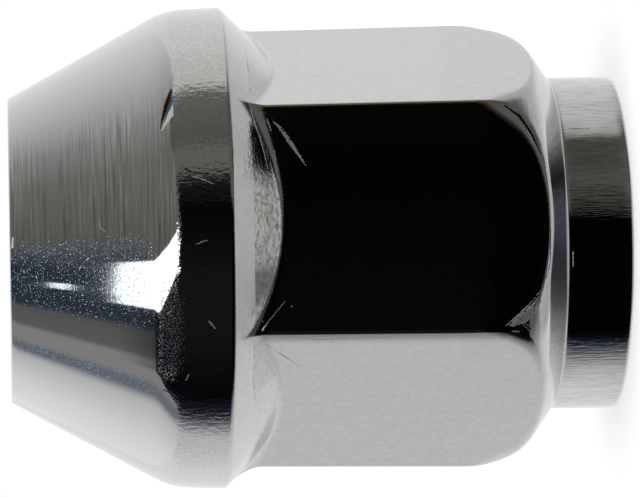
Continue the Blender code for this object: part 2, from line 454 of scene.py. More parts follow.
def join_bore(body, nut, wall):
    """Joins the tapped wall to the nut and closes the flat ring and the closed end."""
    make_active(nut)
    wall.select_set(True)
    bpy.ops.object.join()
    bpy.ops.object.mode_set(mode="EDIT")
    bpy.ops.mesh.select_mode(type="EDGE")
    select_open_edges(nut, NUT_HIGH.z)
    bpy.ops.mesh.bridge_edge_loops()
    select_open_edges(nut, 0, end_ring_radius(body))
    bpy.ops.mesh.extrude_edges_move(TRANSFORM_OT_translate={"value": (0, 0, 0)})
    bpy.ops.mesh.merge(type="CENTER")
    bpy.ops.mesh.select_all(action="SELECT")
    bpy.ops.mesh.normals_make_consistent(inside=False)
    bpy.ops.object.mode_set(mode="OBJECT")


class Nodes:
    """A node material in the making, with its shader."""

    def __init__(self, name):
        self.material = bpy.data.materials.new(name)
        self.material.use_nodes = True
        self.tree = self.material.node_tree
        self.shader = self.tree.nodes["Principled BSDF"]

    def feed(self, node, inputs):
        """Gives a node its inputs, each a value or another node's socket."""
        for name, value in inputs.items():
            if isinstance(value, bpy.types.NodeSocket):
                self.tree.links.new(value, node.inputs[name])
            else:
                node.inputs[name].default_value = value

    def add(self, kind, inputs=None, **settings):
        """A new node with its settings and inputs."""
        node = self.tree.nodes.new(kind)
        for name, value in settings.items():
            setattr(node, name, value)
        self.feed(node, inputs or {})
        return node

    def math(self, operation, *values):
        inputs = dict(enumerate(values))
        return self.add("ShaderNodeMath", inputs, operation=operation).outputs[0]

    def product(self, first, second):
        return self.math("MULTIPLY", first, second)

    def vector(self, operation, *values):
        inputs = dict(enumerate(values))
        node = self.add("ShaderNodeVectorMath", inputs, operation=operation)
        return node.outputs["Value" if operation in ("DOT_PRODUCT", "DISTANCE") else "Vector"]

    def ramp(self, factor, stops):
        """A colour ramp through (position, value or colour) stops."""
        node = self.add("ShaderNodeValToRGB", {"Fac": factor})
        elements = node.color_ramp.elements
        while len(elements) > 1:
            elements.remove(elements[-1])
        for index, (position, value) in enumerate(stops):
            element = elements[0] if index == 0 else elements.new(position)
            element.position = position
            element.color = (*value, 1) if isinstance(value, tuple) else (value, value, value, 1)
        return node.outputs["Color"]

    def fade(self, value, start, end):
        """0 at the start and 1 at the end, smooth between them."""
        inputs = {"Value": value, "From Min": start, "From Max": end}
        return self.add("ShaderNodeMapRange", inputs, interpolation_type="SMOOTHSTEP").outputs["Result"]

    def window(self, value, start, end, soft):
        """1 from the start to the end and 0 outside, with soft ends."""
        rise = self.fade(value, start - soft, start + soft)
        fall = self.fade(value, end + soft, end - soft)
        return self.product(rise, fall)


class Finish(Nodes):
    """A plated or bare metal, with its coordinates and the last bump of its chain."""

    def __init__(self, name, base, roughness):
        super().__init__(name)
        metal = {"Base Color": (*base, 1), "Metallic": 1, "Roughness": roughness, "Specular IOR Level": 0}
        self.feed(self.shader, metal)
        self.coordinates = self.add("ShaderNodeTexCoord").outputs["Object"]
        self.bumped = None
        self.shaken = None
        self.turned = None

    def noise(self, size, detail=2.0, stretch=(1, 1, 1), roughness=0.5):
        """Noise whose features are about one size across, stretched along the axes."""
        scale = tuple(1 / (size * part) for part in stretch)
        mapping = self.add("ShaderNodeMapping", {"Vector": self.coordinates, "Scale": scale})
        texture = self.add(
            "ShaderNodeTexNoise",
            {"Vector": mapping.outputs[0], "Scale": 1.0, "Detail": detail, "Roughness": roughness},
        )
        return texture.outputs["Fac"]

    def bump(self, height, depth):
        """Raises the surface by the height, where 1 is one depth."""
        inputs = {"Height": height, "Distance": depth, "Strength": 1.0}
        if self.bumped:
            inputs["Normal"] = self.bumped
        self.bumped = self.add("ShaderNodeBump", inputs).outputs["Normal"]
        self.tree.links.new(self.bumped, self.shader.inputs["Normal"])

    def blend(self, name, mask, value):
        """Brings one input of the shader to a value where the mask is 1."""
        socket = self.shader.inputs[name]
        coloured = socket.type == "RGBA"
        first, second, result = (6, 7, 2) if coloured else (2, 3, 0)
        before = socket.links[0].from_socket if socket.is_linked else socket.default_value
        kind = "RGBA" if coloured else "FLOAT"
        mix = self.add("ShaderNodeMix", {0: mask, first: before, second: value}, data_type=kind)
        self.tree.links.new(mix.outputs[result], socket)

    def dull_coat(self, mask, tone):
        """A dull coat of one colour over the plating, where the mask is 1."""
        self.blend("Base Color", mask, (*tone, 1))
        self.blend("Metallic", mask, 0.0)
        self.blend("Roughness", mask, 0.6)

    def line(self, start, end, start_width, end_width):
        """1 on the line between two points, 0 a width away from it, with a ragged edge."""
        run = end - start
        offset = self.vector("SUBTRACT", self.ragged(), start)
        along = self.vector("DOT_PRODUCT", offset, run)
        part = self.add("ShaderNodeMapRange", {"Value": along, "From Max": run.length_squared}).outputs[0]
        foot = self.add("ShaderNodeVectorMath", {0: run, "Scale": part}, operation="SCALE").outputs[0]
        gap = self.vector("DISTANCE", offset, foot)
        width = self.math("MULTIPLY_ADD", part, end_width - start_width, start_width)
        return self.fade(self.math("DIVIDE", gap, width), 1.0, 0.7)

    def ragged(self):
        """The coordinates, shaken by a small noise."""
        if not self.shaken:
            inputs = {"Vector": self.coordinates, "Scale": 9 / MM, "Detail": 1.0}
            noise = self.add("ShaderNodeTexNoise", inputs).outputs["Color"]
            centred = self.vector("SUBTRACT", noise, (0.5, 0.5, 0.5))
            shake = self.add("ShaderNodeVectorMath", {0: centred, "Scale": 0.09 * MM}, operation="SCALE")
            self.shaken = self.vector("ADD", self.coordinates, shake.outputs[0])
        return self.shaken

    def around(self):
        """(bearing in degrees, height, radius) as sockets, for patterns that follow the turned surface."""
        if not self.turned:
            split = self.add("ShaderNodeSeparateXYZ", {"Vector": self.coordinates})
            x, y, height = (split.outputs[axis] for axis in "XYZ")
            bearing = self.math("DEGREES", self.math("ARCTAN2", y, x))
            squares = self.math("MULTIPLY_ADD", x, x, self.product(y, y))
            self.turned = bearing, height, self.math("SQRT", squares)
        return self.turned


def spot(nut, height, bearing):
    """The point on the nut's outside at a height in millimetres and a bearing in degrees."""
    turn = math.radians(bearing)
    outward = Vector((math.cos(turn), math.sin(turn), 0))
    found, place, _, _ = nut.ray_cast(outward * 20 * MM + Vector((0, 0, height * MM)), -outward)
    if not found:
        raise RuntimeError("nothing at height %g and bearing %g" % (height, bearing))
    return place


PALE, GREY, DIM = (0.42, 0.41, 0.39), (0.11, 0.11, 0.105), (0.045, 0.044, 0.042)
DARK = (0.003, 0.003, 0.003)
# Olive paints only reflections along edges, and cream only highlights along edges.
CREAM_HIGHLIGHT, OLIVE_REFLECTION, BROWN = (0.20, 0.18, 0.14), (0.05, 0.047, 0.03), (0.045, 0.018, 0.007)
BLUE, RED = (0.02, 0.07, 0.13), (0.045, 0.006, 0.006)

WIDE_MARK = 0.085 * MM  # half width over which a grey mark is broken up by specks

# Marks, and painted reflections and highlights along edges, as (colour, strength, points), with each point as
# its height in millimetres, its bearing in degrees and the mark's half width there in millimetres.
SEAT_MARKS = (
    (BROWN, 1.0, (24.26, -58.2, 0.12), (24.52, -61.8, 0.20), (24.74, -65.4, 0.13), (24.92, -68.6, 0.03)),
    (DARK, 0.9, (24.34, -59.0, 0.03), (24.56, -62.6, 0.09), (24.84, -67.0, 0.03)),
    (BLUE, 1.0, (24.18, -60.0, 0.07), (24.42, -63.2, 0.10), (24.70, -66.8, 0.03)),
    (PALE, 1.0, (24.02, -60.0, 0.04), (24.12, -62.8, 0.15), (24.36, -65.4, 0.17), (24.84, -69.1, 0.03)),
    (DARK, 1.0, (24.97, -133.6, 0.03), (24.59, -134.1, 0.06), (24.30, -135.2, 0.09), (24.22, -136.4, 0.07)),
    (BROWN, 1.0, (24.23, -136.3, 0.09), (24.19, -137.3, 0.04)),
    (PALE, 1.0, (32.58, -93.4, 0.05), (32.62, -96.7, 0.09)),
    (BROWN, 1.0, (32.59, -97.7, 0.06), (32.59, -99.9, 0.03)),
    (DIM, 0.9, (25.68, -65.9, 0.02), (25.41, -64.7, 0.02)),
    (GREY, 0.8, (28.10, -90.2, 0.03), (28.12, -91.8, 0.03), (27.84, -93.3, 0.03)),
    (GREY, 0.8, (24.75, -113.4, 0.03), (24.52, -112.6, 0.02)),
)
BULGE_MARKS = (
    (GREY, 1.0, (23.25, -97.2, 0.02), (22.95, -96.7, 0.04), (22.64, -96.3, 0.02)),
    (GREY, 0.8, (23.40, -81.6, 0.02), (22.90, -82.2, 0.03), (22.27, -83.5, 0.02)),
    (DARK, 1.0, (23.68, -80.0, 0.04), (23.10, -80.8, 0.04), (22.40, -81.2, 0.03)),
    (DARK, 1.0, (23.85, -79.2, 0.03), (23.62, -79.9, 0.05), (23.45, -80.6, 0.03)),
    (DIM, 0.8, (23.78, -129.8, 0.03), (23.63, -128.1, 0.02)),
    (DIM, 0.8, (22.60, -115.0, 0.05), (22.30, -116.6, 0.03)),
)
WRENCH_MARKS_AND_EDGE_HIGHLIGHTS = (
    (
        DIM, 0.75, (19.05, -63.3, 0.02), (18.59, -65.6, 0.10), (18.14, -68.8, 0.13), (17.74, -71.9, 0.08),
        (17.33, -75.1, 0.02),
    ),
    (GREY, 0.6, (18.44, -66.8, 0.02), (18.00, -69.9, 0.05), (17.63, -72.7, 0.02)),
    (DIM, 0.7, (19.30, -63.0, 0.03), (19.10, -66.0, 0.04)),
    (DIM, 0.7, (18.95, -71.0, 0.03), (18.90, -76.4, 0.04), (18.76, -79.1, 0.03)),
    (DARK, 0.9, (19.86, -60.4, 0.03), (19.60, -61.0, 0.05)),
    (GREY, 1.0, (19.72, -118.5, 0.04), (19.30, -116.3, 0.025), (18.60, -112.6, 0.025)),
    (PALE, 1.0, (19.80, -119.0, 0.05), (19.66, -118.2, 0.03)),
    (GREY, 1.0, (18.26, -113.7, 0.03), (18.24, -113.9, 0.03)),
    (GREY, 1.0, (19.82, -117.0, 0.03), (19.78, -117.2, 0.03)),
    (DARK, 0.9, (20.15, -64.5, 0.02), (20.20, -70.0, 0.04), (20.11, -76.4, 0.02)),
    (DIM, 0.5, (20.05, -95.3, 0.02), (20.15, -104.0, 0.03), (20.25, -111.1, 0.02)),
    # The next two rows are painted highlights along the edge between the front flat and the flank.
    (PALE, 0.8, (20.16, -61.5, 0.02), (19.81, -67.1, 0.035), (19.48, -73.1, 0.035), (19.25, -79.8, 0.02)),
    (CREAM_HIGHLIGHT, 0.9, (18.80, -93.9, 0.02), (19.08, -102.2, 0.05), (19.52, -110.1, 0.05), (20.20, -117.6, 0.03)),
    (DIM, 0.6, (20.20, -123.0, 0.02), (20.25, -132.7, 0.03), (20.11, -140.0, 0.02)),
    (DIM, 0.6, (20.15, -36.0, 0.02), (20.12, -45.0, 0.03), (20.10, -54.8, 0.02)),
    (GREY, 0.5, (19.59, -123.7, 0.03), (18.60, -128.6, 0.05), (17.73, -133.5, 0.02)),
    (GREY, 0.5, (17.80, -121.8, 0.02), (16.80, -122.3, 0.04), (12.65, -121.6, 0.02)),
)
CROWN_MARKS_AND_EDGE_REFLECTIONS = (
    # The first eight rows are painted reflections along the edge between the front flat and the crown: olive
    # lines along it with a dark band near one corner, and grey, dim and cream bands near the other.
    (OLIVE_REFLECTION, 0.9, (7.10, -60.6, 0.02), (6.10, -61.6, 0.06), (5.40, -65.8, 0.06), (4.86, -74.6, 0.05)),
    (OLIVE_REFLECTION, 0.9, (4.86, -74.6, 0.05), (4.68, -86.0, 0.04), (4.66, -95.0, 0.05)),
    (OLIVE_REFLECTION, 0.9, (4.66, -95.0, 0.05), (4.74, -104.0, 0.05), (5.20, -110.9, 0.03)),
    (DARK, 1.0, (6.85, -60.9, 0.05), (6.10, -63.4, 0.15), (5.45, -68.2, 0.10), (5.05, -73.0, 0.03)),
    (OLIVE_REFLECTION, 0.7, (6.45, -61.8, 0.02), (5.86, -65.6, 0.03), (5.37, -70.9, 0.02)),
    (GREY, 0.6, (6.95, -118.9, 0.03), (6.40, -116.6, 0.07), (5.80, -114.6, 0.09), (5.35, -112.2, 0.03)),
    (DIM, 0.9, (6.80, -118.9, 0.08), (6.25, -117.7, 0.26), (5.75, -116.2, 0.26), (5.30, -113.4, 0.08)),
    (CREAM_HIGHLIGHT, 0.9, (7.15, -118.9, 0.02), (6.55, -116.6, 0.03), (6.01, -114.5, 0.03), (5.25, -110.7, 0.02)),
    (RED, 1.0, (6.15, -119.0, 0.09), (5.85, -120.6, 0.11)),
    (DARK, 0.8, (6.80, -120.4, 0.03), (6.45, -120.9, 0.05)),
)
COLLAR_MARKS = (
    (DARK, 0.9, (3.10, -55.9, 0.02), (2.60, -56.2, 0.03), (1.95, -56.4, 0.02)),
    (DIM, 0.9, (2.82, -60.8, 0.02), (1.80, -61.2, 0.03), (0.86, -61.8, 0.02)),
    (PALE, 0.8, (3.28, -101.0, 0.03), (3.28, -106.0, 0.03)),
)


def wear_and_painted_edges(finish, nut, marks):
    """Scratches, nicks and stains, and painted reflections and highlights along edges, each as a chain of
    ragged lines.
    """
    specks = finish.fade(finish.noise(0.07 * MM, detail=2), 0.38, 0.56)
    for tone, strength, *places in marks:
        points = [spot(nut, height, bearing) for height, bearing, _ in places]
        widths = [width * MM for _, _, width in places]
        mask = 0.0
        for start, end, start_width, end_width in zip(points, points[1:], widths, widths[1:]):
            mask = finish.math("MAXIMUM", finish.line(start, end, start_width, end_width), mask)
        if max(widths) > WIDE_MARK and tone in (DIM, GREY, CREAM_HIGHLIGHT):
            mask = finish.product(mask, specks)
        finish.dull_coat(finish.product(mask, strength), tone)


def seat_finish(plating, nut):
    """Chrome over a turned cone: fine lines round it, uneven streaks and a patch of sparkling grain."""
    finish = Finish("chrome_turned_seat", plating.chrome, plating.gloss)
    bearing, height, _ = finish.around()
    lines = finish.noise(0.10 * MM, detail=3, stretch=(40, 40, 1), roughness=0.6)
    clusters = finish.fade(finish.noise(0.9 * MM, detail=1, stretch=(10, 10, 1)), 0.25, 0.55)
    streaked = finish.product(finish.window(bearing, -100, -60, 9), clusters)
    shades = [(0.36, (0.38, 0.39, 0.42)), (0.46, 0.59), (0.55, 0.62), (0.66, (0.88, 0.86, 0.74))]
    finish.blend("Base Color", streaked, finish.ramp(lines, shades))
    finish.bump(lines, 0.0002 * MM)
    strip = finish.product(finish.window(bearing, -135.5, -131.5, 1), 0.7)
    grainy = finish.math("MAXIMUM", finish.window(bearing, -117.5, -95.5, 3), strip)
    grainy = finish.product(grainy, finish.fade(height, 25.1 * MM, 26.2 * MM))
    grain = finish.noise(0.07 * MM, detail=1)
    shades = [(0.38, (0.30, 0.32, 0.36)), (0.52, (0.52, 0.55, 0.60)), (0.64, (0.65, 0.85, 1.0))]
    finish.blend("Base Color", finish.product(grainy, 0.8), finish.ramp(grain, shades))
    finish.bump(finish.product(grain, grainy), 0.0002 * MM)
    sparks = finish.fade(finish.noise(0.09 * MM, detail=0), 0.68, 0.76)
    finish.bump(finish.product(sparks, grainy), 0.005 * MM)
    finish.bump(finish.noise(0.3 * MM, detail=2, stretch=(1.5, 1.5, 1)), 0.0003 * MM)
    dusty = finish.product(finish.window(bearing, -129, -106, 3), finish.fade(height, 25.3 * MM, 24.9 * MM))
    finish.dull_coat(finish.product(finish.fade(grain, 0.56, 0.62), dusty), (0.008, 0.016, 0.03))
    wear_and_painted_edges(finish, nut, SEAT_MARKS)
    return finish.material


def bulge_finish(plating, nut):
    """Chrome over a pebbled band, wrinkled along the axis, with fine dark dust towards the seat."""
    finish = Finish("chrome_pebbled_bulge", plating.chrome, plating.gloss)
    bearing, height, _ = finish.around()
    finish.bump(finish.noise(0.2 * MM, detail=3, stretch=(1, 1, 2)), 0.013 * MM)
    finish.bump(finish.noise(1.2 * MM, detail=1), 0.01 * MM)
    pebbles = finish.noise(0.12 * MM, detail=2)
    finish.blend("Base Color", 1.0, finish.ramp(pebbles, [(0.35, 0.53), (0.6, 0.65)]))
    dusty = finish.product(finish.window(bearing, -131, -106, 5), finish.fade(height, 22.6 * MM, 24.3 * MM))
    dust = finish.product(finish.noise(0.07 * MM, detail=1), dusty)
    finish.dull_coat(finish.fade(dust, 0.57, 0.62), (0.003, 0.009, 0.02))
    wear_and_painted_edges(finish, nut, BULGE_MARKS)
    return finish.material


def forged_finish(name, plating):
    """Chrome over forged flats: a soft mottle, with a painted brown reflection along the front flat's long
    edge above and painted grey shade along its long edge below.
    """
    finish = Finish(name, plating.chrome, plating.gloss)
    bearing, height, _ = finish.around()
    mottle = finish.noise(0.35 * MM, detail=3)
    shades = [(0.3, (0.585, 0.585, 0.59)), (0.65, (0.635, 0.635, 0.64))]
    finish.blend("Base Color", 1.0, finish.ramp(mottle, shades))
    on_flats = finish.window(height, 7.0 * MM, 19.9 * MM, 0.3 * MM)
    # Painted reflection: a brown tint along the front flat's long edge above, near -60 degrees.
    upper_edge_painted_reflection = finish.product(finish.window(bearing, -61.6, -59.8, 0.4), on_flats)
    finish.blend("Base Color", finish.product(upper_edge_painted_reflection, 0.8), (0.60, 0.48, 0.32, 1))
    # Painted shade: a dark grey tint along the front flat's long edge below, near -120 degrees.
    lower_edge_painted_shade = finish.product(finish.fade(bearing, -124.5, -120.4), finish.fade(bearing, -119.9, -120.3))
    lower_edge_painted_shade = finish.product(lower_edge_painted_shade, on_flats)
    finish.blend("Base Color", finish.product(lower_edge_painted_shade, 0.75), (0.17, 0.17, 0.20, 1))
    finish.bump(finish.noise(3 * MM, detail=1), 0.006 * MM)
    finish.bump(finish.noise(0.3 * MM, detail=2), 0.0008 * MM)
    return finish


def crown_finish(plating, nut):
    """The forged finish on the crown and the flats' closed end."""
    finish = forged_finish("chrome_crown", plating)
    wear_and_painted_edges(finish, nut, CROWN_MARKS_AND_EDGE_REFLECTIONS)
    return finish.material


def wrench_finish(body, plating, nut):
    """The forged finish on the flats and the flank, with a sheared patch where the flats meet the flank,
    mottled darker, with streaks and painted shade at its two ends.
    """
    finish = forged_finish("chrome_wrench_body", plating)
    bearing, height, radius = finish.around()
    from_corner = finish.math("FLOORED_MODULO", finish.math("ADD", bearing, 120.0), 60.0)
    slope = math.tan(body.flank_angle)
    cone = finish.math("MULTIPLY_ADD", height, slope, body.bulge_radius - body.bulge_rear * slope)
    on_flank = finish.fade(finish.math("SUBTRACT", radius, cone), 0.06 * MM, 0.02 * MM)
    sheared = finish.product(on_flank, finish.window(height, 17.9 * MM, 20.17 * MM, 0.03 * MM))
    front_or_less = finish.math("MULTIPLY_ADD", finish.window(bearing, -119, -61, 1), 0.85, 0.15)
    sheared = finish.product(sheared, front_or_less)
    patch_mottle = finish.noise(0.13 * MM, detail=3, stretch=(2.2, 2.2, 1), roughness=0.55)
    shades = [(0.32, (0.22, 0.22, 0.225)), (0.48, 0.46), (0.62, (0.64, 0.64, 0.62))]
    finish.blend("Base Color", sheared, finish.ramp(patch_mottle, shades))
    streaks = finish.noise(0.055 * MM, detail=3, stretch=(12, 12, 1), roughness=0.6)
    shades = [(0.42, (0.02, 0.02, 0.028)), (0.5, (0.10, 0.105, 0.14)), (0.6, 0.42)]
    # Dark streaks near one end of each sheared patch, partly real streaking and partly painted shade.
    upper_streaks_and_shade = finish.product(sheared, finish.window(from_corner, 43, 56, 2.5))
    finish.blend("Base Color", upper_streaks_and_shade, finish.ramp(streaks, shades))
    # Painted shade: a plain dark tint near the other end of each sheared patch.
    lower_painted_shade = finish.product(sheared, finish.window(from_corner, 8, 17, 2.5))
    finish.blend("Base Color", finish.product(lower_painted_shade, 0.75), (0.16, 0.16, 0.17, 1))
    rough_end = finish.fade(height, 17.4 * MM, 19.2 * MM)
    finish.bump(finish.product(finish.noise(0.16 * MM, detail=3), rough_end), 0.007 * MM)
    wear_and_painted_edges(finish, nut, WRENCH_MARKS_AND_EDGE_HIGHLIGHTS)
    return finish.material


def collar_finish(plating, nut):
    """Chrome over the collar, with fine wrinkles along the axis."""
    finish = Finish("chrome_collar", plating.chrome, plating.gloss)
    bearing, _, _ = finish.around()
    wrinkles = finish.noise(0.08 * MM, detail=2, stretch=(1, 1, 14))
    finish.bump(wrinkles, 0.0035 * MM)
    finish.bump(finish.product(wrinkles, finish.window(bearing, -90, -77, 3)), 0.016 * MM)
    finish.bump(finish.product(wrinkles, finish.window(bearing, -146, -132, 4)), 0.012 * MM)
    finish.blend("Base Color", 1.0, finish.ramp(wrinkles, [(0.36, 0.50), (0.5, 0.62), (0.66, 0.68)]))
    finish.bump(finish.noise(1.5 * MM, detail=1), 0.006 * MM)
    wear_and_painted_edges(finish, nut, COLLAR_MARKS)
    return finish.material


def thread_finish(plating):
    """Bare tapped steel."""
    finish = Finish("steel_thread", plating.steel, 0.35)
    finish.bump(finish.noise(0.3 * MM, detail=3), 0.004 * MM)
    return finish.material


SEAT, BULGE, WRENCH, CROWN, COLLAR, THREAD = range(6)
CROWN_TOP = 10 * MM  # where the crown's finish ends on the flats


def zone_of(body, bore, centre):
    """The finish of a face, from where its centre lies."""
    radius = centre.xy.length
    inside = bore.thread_diameter / 2 + bore.mouth_clearance
    if radius < inside and centre.z > 0.01 * MM:
        return THREAD
    if centre.z < body.collar_height - 0.1 * MM:
        return COLLAR
    if centre.z < CROWN_TOP:
        return CROWN
    if centre.z < body.bulge_rear + 0.2 * MM:
        return WRENCH
    if centre.z < body.bulge_front - 0.2 * MM:
        return BULGE
    return SEAT


def plate(body, bore, plating, nut):
    """Gives each zone of the nut its finish."""
    bpy.context.view_layer.update()
    finishes = (
        seat_finish(plating, nut),
        bulge_finish(plating, nut),
        wrench_finish(body, plating, nut),
        crown_finish(plating, nut),
        collar_finish(plating, nut),
        thread_finish(plating),
    )
    for material in finishes:
        nut.data.materials.append(material)
    for face in nut.data.polygons:
        face.material_index = zone_of(body, bore, face.center)


class LUGNUT_OT_nut(bpy.types.Operator):
    """Turn the blank, forge its flats, tap its bore and plate it"""

    bl_idname = "lugnut.nut"
    bl_label = "Plated Nut"

    def execute(self, context):
        scene = context.scene
        body, bore = scene.lugnut_body, scene.lugnut_bore
        mouth_radius = bore.thread_diameter / 2 + bore.mouth_clearance
        ring_inside = mouth_radius + 0.15 * MM
        nut = turn_blank(body, ring_inside)
        forge_flats(body, nut, ring_inside)
        wall = tap_bore(bore, mouth_radius)
        join_bore(body, nut, wall)
        plate(body, bore, scene.lugnut_plating, nut)
        make_active(nut)
        bpy.ops.object.shade_smooth_by_angle(angle=SMOOTH_BELOW)
        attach(nut, "root")
        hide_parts("lug_nut")
        return {"FINISHED"}


def facing(turn, tilt):
    """Unit vector from the nut towards a bearing from -Y and a height angle."""
    return Vector((math.sin(turn) * math.cos(tilt), -math.cos(turn) * math.cos(tilt), math.sin(tilt)))


def set_camera(studio):
    """The nut stands upright, and the camera lies on its side: the picture's left is up."""
    back = facing(studio.camera_turn, studio.camera_tilt)
    across = Vector((0, 0, -1)) + back * back.z
    across.normalize()
    upward = back.cross(across)
    roll = studio.camera_roll
    right = math.cos(roll) * across - math.sin(roll) * upward
    up = math.sin(roll) * across + math.cos(roll) * upward
    side = Vector((math.cos(studio.camera_turn), math.sin(studio.camera_turn), 0))
    aim = Vector((0, 0, studio.aim_height)) + side * studio.aim_side
    data = bpy.data.cameras.new("photo_view")
    data.sensor_fit = "HORIZONTAL"
    data.sensor_width = 36
    data.lens = studio.lens
    data.clip_start = 0.01
    camera = bpy.data.objects.new("photo_view", data)
    bpy.context.scene.collection.objects.link(camera)
    place = Matrix((right, up, back)).transposed().to_4x4()
    place.translation = aim + back * studio.camera_distance
    camera.matrix_world = place
    bpy.context.scene.camera = camera


def light_ramp(cloth, turn, light):
    """A ramp over one turn, through (angle from -180 to 180 degrees, value) pairs."""
    return cloth.ramp(turn, [((angle + 180) / 360, value) for angle, value in light])


# What the nut mirrors, as a brightness or colour by the angle in degrees round its axis, from the camera and
# upwards in the picture.
SIDE_LIGHT = (
    (-180, 0.92), (-128, 0.93), (-106, 0.735), (-97, 0.70), (-91, (0.34, 0.33, 0.36)),
    (-83, (0.02, 0.022, 0.035)), (-72, (0.002, 0.002, 0.003)), (-40, 0.010), (-15, 0.011), (0, 0.006),
    (13, 0.003), (15, (0.004, 0.003, 0.003)), (16.5, 0.0015), (19, 0.0015), (22, 0.008), (32, 0.014),
    (36, (0.17, 0.165, 0.145)), (47, (0.165, 0.16, 0.145)), (50, (0.115, 0.112, 0.098)),
    (66, (0.15, 0.15, 0.135)), (77, (0.18, 0.178, 0.165)), (80, (0.66, 0.655, 0.62)),
    (98, (0.75, 0.745, 0.72)), (108, 0.83), (134, 0.89), (139, 0.915), (180, 0.94),
)
COLLAR_LIGHT = (
    (-180, 0.92), (-121, 0.88), (-105, 0.75), (-95, 0.63), (-89, (0.50, 0.49, 0.51)),
    (-84, (0.26, 0.26, 0.29)), (-80, (0.20, 0.20, 0.23)), (-77, (0.10, 0.105, 0.13)),
    (-74, (0.010, 0.020, 0.038)), (-68, (0.004, 0.010, 0.02)), (-63, 0.001), (20, 0.001), (26, 0.05),
    (34, (0.08, 0.078, 0.066)), (44, (0.11, 0.107, 0.096)), (52, (0.08, 0.078, 0.07)),
    (74, (0.085, 0.083, 0.075)), (78, (0.40, 0.395, 0.36)), (82, 0.56), (93, 0.68), (108, 0.72),
    (118, 0.78), (139, (0.88, 0.88, 0.895)), (180, 0.92),
)
UNDER_LIGHT = (
    (-180, 0.92), (-139, 0.88), (-119, 0.80), (-104, 0.72), (-92, 0.52), (-82, 0.30), (-72, 0.01),
    (-60, 0.002), (20, 0.002), (26, (0.14, 0.137, 0.125)), (60, (0.12, 0.117, 0.105)),
    (76, (0.10, 0.096, 0.075)), (86, 0.16), (92, 0.28), (104, 0.55), (121, 0.60), (130, 0.68), (148, 0.86),
    (180, 0.92),
)
LOW_LIGHT = (
    (-180, 0.92), (-139, 0.88), (-119, 0.80), (-104, 0.72), (-92, 0.52), (-78, (0.36, 0.35, 0.37)),
    (-60, 0.15), (-35, (0.07, 0.067, 0.075)), (-13, (0.065, 0.065, 0.08)), (9, (0.09, 0.10, 0.13)),
    (25, (0.12, 0.135, 0.165)), (45, (0.11, 0.11, 0.14)), (57, 0.04), (66, 0.03), (78, 0.09), (90, 0.26),
    (104, 0.55), (121, 0.60), (130, 0.68), (148, 0.86), (180, 0.92),
)
BELOW_LIGHT = (
    (-180, 0.57), (-150, 0.56), (-117, 0.50), (-100, 0.55), (0, 0.6), (117, (0.62, 0.61, 0.585)),
    (180, 0.57),
)
SEAT_LIGHT = (
    (-180, 1.05), (-155, 1.05), (-123, 0.98), (-110, 0.86), (-101, 0.75), (-95, 0.67), (-92, 0.48),
    (-89, (0.20, 0.215, 0.25)), (-84, (0.20, 0.215, 0.25)), (-81, 0.31), (-69.5, 0.31), (-66.5, 0.15),
    (-52, 0.13), (-48, (0.04, 0.05, 0.065)), (-18, (0.035, 0.045, 0.06)), (-8, (0.08, 0.088, 0.10)),
    (1, (0.14, 0.142, 0.142)), (15, (0.16, 0.158, 0.14)), (32, (0.185, 0.183, 0.163)),
    (55, (0.21, 0.208, 0.19)), (77, 0.325), (94, 0.51), (109, 0.66), (129, 0.82), (145, 0.90), (180, 1.02),
)
# Height angle in degrees at which the side light gives way to the seat's light, by the same angle.
SEAM = (
    (-180, 18), (-89, 17), (-81, 21), (-79, 29), (-77, 38), (-74, 44.5), (-60, 48), (-50, 50), (-40, 51),
    (-30, 46), (-20, 38), (-7, 28), (1, 25), (14, 24), (30, 26.5), (41, 29), (56, 32), (70, 28), (84, 20.5),
    (102, 19), (180, 18),
)
SEAM_SOFTNESS = 1.5  # degrees
# The lights below the side light, each with the height angles between which it takes over.
LOWER_LIGHTS = (
    (COLLAR_LIGHT, -7.65, -8.05),
    (UNDER_LIGHT, -13, -18),
    (LOW_LIGHT, -46, -52),
    (BELOW_LIGHT, -63.5, -69),
)
# Corners of the bright panels over the camera, as angle round the axis and height angle.
PANELS = {
    "softbox": (
        (9, 27), (2.5, 40), (-3, 50), (-9, 54.9), (-19, 54.6), (-25, 54.2), (-30, 53.8), (-33, 53.3),
        (-36.5, 53), (-38, 49.6), (-33, 47), (-17, 35.6), (-8, 26),
    ),
    "softbox_strip": ((-27, 55.6), (-27, 56.2), (-31.5, 55.7), (-31.5, 55.2)),
}


